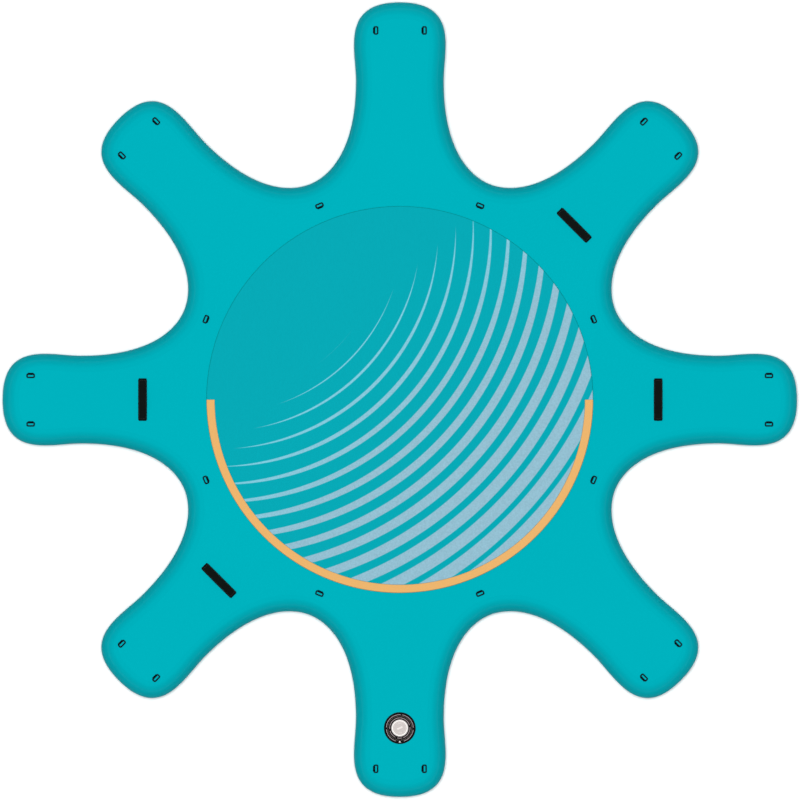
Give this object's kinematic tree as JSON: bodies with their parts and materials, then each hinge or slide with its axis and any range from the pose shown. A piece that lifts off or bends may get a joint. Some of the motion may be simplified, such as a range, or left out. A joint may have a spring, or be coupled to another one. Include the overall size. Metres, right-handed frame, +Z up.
{
  "type": "inflatable yoga platform",
  "caption": "Star-shaped inflatable platform with a round foam deck, carry handles, tie-down rings and an inflation valve, to stand on for yoga on the water.",
  "frame": {"origin": "middle of the underside, on the axis of the star", "axes": "+Z up from the water, +X along the arm opposite the west handle, +Y along the arm opposite the valve"},
  "size_m": [2.9, 2.9, 0.1746],
  "materials": {
    "hull_fabric": "satin",
    "drop_stitch": "matte",
    "deck_foam": "matte",
    "border_foam": "matte",
    "webbing": "matte",
    "grip_foam": "matte",
    "ring_metal": "satin",
    "patch_rubber": "matte",
    "valve_plastic": "satin",
    "cap_plastic": "satin",
    "seal_rubber": "matte",
    "spring_steel": "polished"
  },
  "bodies": {
    "hull": {"top_skin": "hull_fabric", "bottom_skin": "hull_fabric", "side_wall": "hull_fabric", "drop_stitch_core": "drop_stitch", "deck_pad": "deck_foam", "deck_pad_border": "border_foam", "handle_grip_e": "grip_foam", "handle_strap_e": "webbing", "handle_grip_ne": "grip_foam", "handle_strap_ne": "webbing", "handle_grip_w": "grip_foam", "handle_strap_w": "webbing", "handle_grip_sw": "grip_foam", "handle_strap_sw": "webbing", "valve_patch": "patch_rubber", "valve_body": "valve_plastic", "valve_base_nut": "valve_plastic", "valve_spring": "spring_steel"},
    "cap_carrier": {"cap_gasket": "seal_rubber"},
    "cap": {"valve_cap": "cap_plastic"},
    "stem_carrier": {"valve_seal": "seal_rubber"},
    "stem": {"valve_stem": "valve_plastic"},
    "tip_ring_e_left": {"tip_ring_e_left": "ring_metal"},
    "tip_ring_e_right": {"tip_ring_e_right": "ring_metal"},
    "tip_ring_ne_left": {"tip_ring_ne_left": "ring_metal"},
    "tip_ring_ne_right": {"tip_ring_ne_right": "ring_metal"},
    "tip_ring_n_left": {"tip_ring_n_left": "ring_metal"},
    "tip_ring_n_right": {"tip_ring_n_right": "ring_metal"},
    "tip_ring_nw_left": {"tip_ring_nw_left": "ring_metal"},
    "tip_ring_nw_right": {"tip_ring_nw_right": "ring_metal"},
    "tip_ring_w_left": {"tip_ring_w_left": "ring_metal"},
    "tip_ring_w_right": {"tip_ring_w_right": "ring_metal"},
    "tip_ring_sw_left": {"tip_ring_sw_left": "ring_metal"},
    "tip_ring_sw_right": {"tip_ring_sw_right": "ring_metal"},
    "tip_ring_s_left": {"tip_ring_s_left": "ring_metal"},
    "tip_ring_s_right": {"tip_ring_s_right": "ring_metal"},
    "tip_ring_se_left": {"tip_ring_se_left": "ring_metal"},
    "tip_ring_se_right": {"tip_ring_se_right": "ring_metal"},
    "bay_ring_ene": {"bay_ring_ene": "ring_metal"},
    "bay_ring_nne": {"bay_ring_nne": "ring_metal"},
    "bay_ring_nnw": {"bay_ring_nnw": "ring_metal"},
    "bay_ring_wnw": {"bay_ring_wnw": "ring_metal"},
    "bay_ring_wsw": {"bay_ring_wsw": "ring_metal"},
    "bay_ring_ssw": {"bay_ring_ssw": "ring_metal"},
    "bay_ring_sse": {"bay_ring_sse": "ring_metal"},
    "bay_ring_ese": {"bay_ring_ese": "ring_metal"}
  },
  "joints": [
    {"name": "cap_lift", "type": "slide", "parent": "hull", "child": "cap_carrier", "axis": [0, 0, 1], "range_m": [0, 0.06]},
    {"name": "cap_turn", "type": "hinge", "parent": "cap_carrier", "child": "cap", "pos_m": [0, -1.199, 0.15], "axis": [0, 0, 1], "range_deg": [-90, 0]},
    {"name": "stem_push", "type": "slide", "parent": "hull", "child": "stem_carrier", "axis": [0, 0, -1], "range_m": [0, 0.007], "stiffness_N_per_m": 400, "springref_m": -0.006, "deforming": ["valve_spring"]},
    {"name": "stem_turn", "type": "hinge", "parent": "stem_carrier", "child": "stem", "pos_m": [0, -1.199, 0.15], "axis": [0, 0, 1], "range_deg": [0, 90]},
    {"name": "tip_ring_e_left_flip", "type": "hinge", "parent": "hull", "child": "tip_ring_e_left", "pos_m": [1.3475, 0.09395, 0.1523], "axis": [-1, 0, 0], "range_deg": [0, 180]},
    {"name": "tip_ring_e_right_flip", "type": "hinge", "parent": "hull", "child": "tip_ring_e_right", "pos_m": [1.3475, -0.08305, 0.1523], "axis": [-1, 0, 0], "range_deg": [0, 180]},
    {"name": "tip_ring_ne_left_flip", "type": "hinge", "parent": "hull", "child": "tip_ring_ne_left", "pos_m": [0.88639, 1.01926, 0.1523], "axis": [-0.7071, -0.7071, 0], "range_deg": [0, 180]},
    {"name": "tip_ring_ne_right_flip", "type": "hinge", "parent": "hull", "child": "tip_ring_ne_right", "pos_m": [1.01155, 0.8941, 0.1523], "axis": [-0.7071, -0.7071, 0], "range_deg": [0, 180]},
    {"name": "tip_ring_n_left_flip", "type": "hinge", "parent": "hull", "child": "tip_ring_n_left", "pos_m": [-0.09395, 1.3475, 0.1523], "axis": [0, -1, 0], "range_deg": [0, 180]},
    {"name": "tip_ring_n_right_flip", "type": "hinge", "parent": "hull", "child": "tip_ring_n_right", "pos_m": [0.08305, 1.3475, 0.1523], "axis": [0, -1, 0], "range_deg": [0, 180]},
    {"name": "tip_ring_nw_left_flip", "type": "hinge", "parent": "hull", "child": "tip_ring_nw_left", "pos_m": [-1.01926, 0.88639, 0.1523], "axis": [0.7071, -0.7071, 0], "range_deg": [0, 180]},
    {"name": "tip_ring_nw_right_flip", "type": "hinge", "parent": "hull", "child": "tip_ring_nw_right", "pos_m": [-0.8941, 1.01155, 0.1523], "axis": [0.7071, -0.7071, 0], "range_deg": [0, 180]},
    {"name": "tip_ring_w_left_flip", "type": "hinge", "parent": "hull", "child": "tip_ring_w_left", "pos_m": [-1.3475, -0.08305, 0.1523], "axis": [-1, 0, 0], "range_deg": [0, 180]},
    {"name": "tip_ring_w_right_flip", "type": "hinge", "parent": "hull", "child": "tip_ring_w_right", "pos_m": [-1.3475, 0.09395, 0.1523], "axis": [-1, 0, 0], "range_deg": [0, 180]},
    {"name": "tip_ring_sw_left_flip", "type": "hinge", "parent": "hull", "child": "tip_ring_sw_left", "pos_m": [-0.8941, -1.01155, 0.1523], "axis": [-0.7071, -0.7071, 0], "range_deg": [0, 180]},
    {"name": "tip_ring_sw_right_flip", "type": "hinge", "parent": "hull", "child": "tip_ring_sw_right", "pos_m": [-1.01926, -0.88639, 0.1523], "axis": [-0.7071, -0.7071, 0], "range_deg": [0, 180]},
    {"name": "tip_ring_s_left_flip", "type": "hinge", "parent": "hull", "child": "tip_ring_s_left", "pos_m": [0.08305, -1.3475, 0.1523], "axis": [0, -1, 0], "range_deg": [0, 180]},
    {"name": "tip_ring_s_right_flip", "type": "hinge", "parent": "hull", "child": "tip_ring_s_right", "pos_m": [-0.09395, -1.3475, 0.1523], "axis": [0, -1, 0], "range_deg": [0, 180]},
    {"name": "tip_ring_se_left_flip", "type": "hinge", "parent": "hull", "child": "tip_ring_se_left", "pos_m": [1.01155, -0.8941, 0.1523], "axis": [0.7071, -0.7071, 0], "range_deg": [0, 180]},
    {"name": "tip_ring_se_right_flip", "type": "hinge", "parent": "hull", "child": "tip_ring_se_right", "pos_m": [0.88639, -1.01926, 0.1523], "axis": [0.7071, -0.7071, 0], "range_deg": [0, 180]},
    {"name": "bay_ring_ene_flip", "type": "hinge", "parent": "hull", "child": "bay_ring_ene", "pos_m": [0.70173, 0.29067, 0.1523], "axis": [0.3827, -0.9239, 0], "range_deg": [0, 180]},
    {"name": "bay_ring_nne_flip", "type": "hinge", "parent": "hull", "child": "bay_ring_nne", "pos_m": [0.29067, 0.70173, 0.1523], "axis": [0.9239, -0.3827, 0], "range_deg": [0, 180]},
    {"name": "bay_ring_nnw_flip", "type": "hinge", "parent": "hull", "child": "bay_ring_nnw", "pos_m": [-0.29067, 0.70173, 0.1523], "axis": [0.9239, 0.3827, 0], "range_deg": [0, 180]},
    {"name": "bay_ring_wnw_flip", "type": "hinge", "parent": "hull", "child": "bay_ring_wnw", "pos_m": [-0.70173, 0.29067, 0.1523], "axis": [0.3827, 0.9239, 0], "range_deg": [0, 180]},
    {"name": "bay_ring_wsw_flip", "type": "hinge", "parent": "hull", "child": "bay_ring_wsw", "pos_m": [-0.70173, -0.29067, 0.1523], "axis": [-0.3827, 0.9239, 0], "range_deg": [0, 180]},
    {"name": "bay_ring_ssw_flip", "type": "hinge", "parent": "hull", "child": "bay_ring_ssw", "pos_m": [-0.29067, -0.70173, 0.1523], "axis": [-0.9239, 0.3827, 0], "range_deg": [0, 180]},
    {"name": "bay_ring_sse_flip", "type": "hinge", "parent": "hull", "child": "bay_ring_sse", "pos_m": [0.29067, -0.70173, 0.1523], "axis": [-0.9239, -0.3827, 0], "range_deg": [0, 180]},
    {"name": "bay_ring_ese_flip", "type": "hinge", "parent": "hull", "child": "bay_ring_ese", "pos_m": [0.70173, -0.29067, 0.1523], "axis": [-0.3827, -0.9239, 0], "range_deg": [0, 180]}
  ]
}
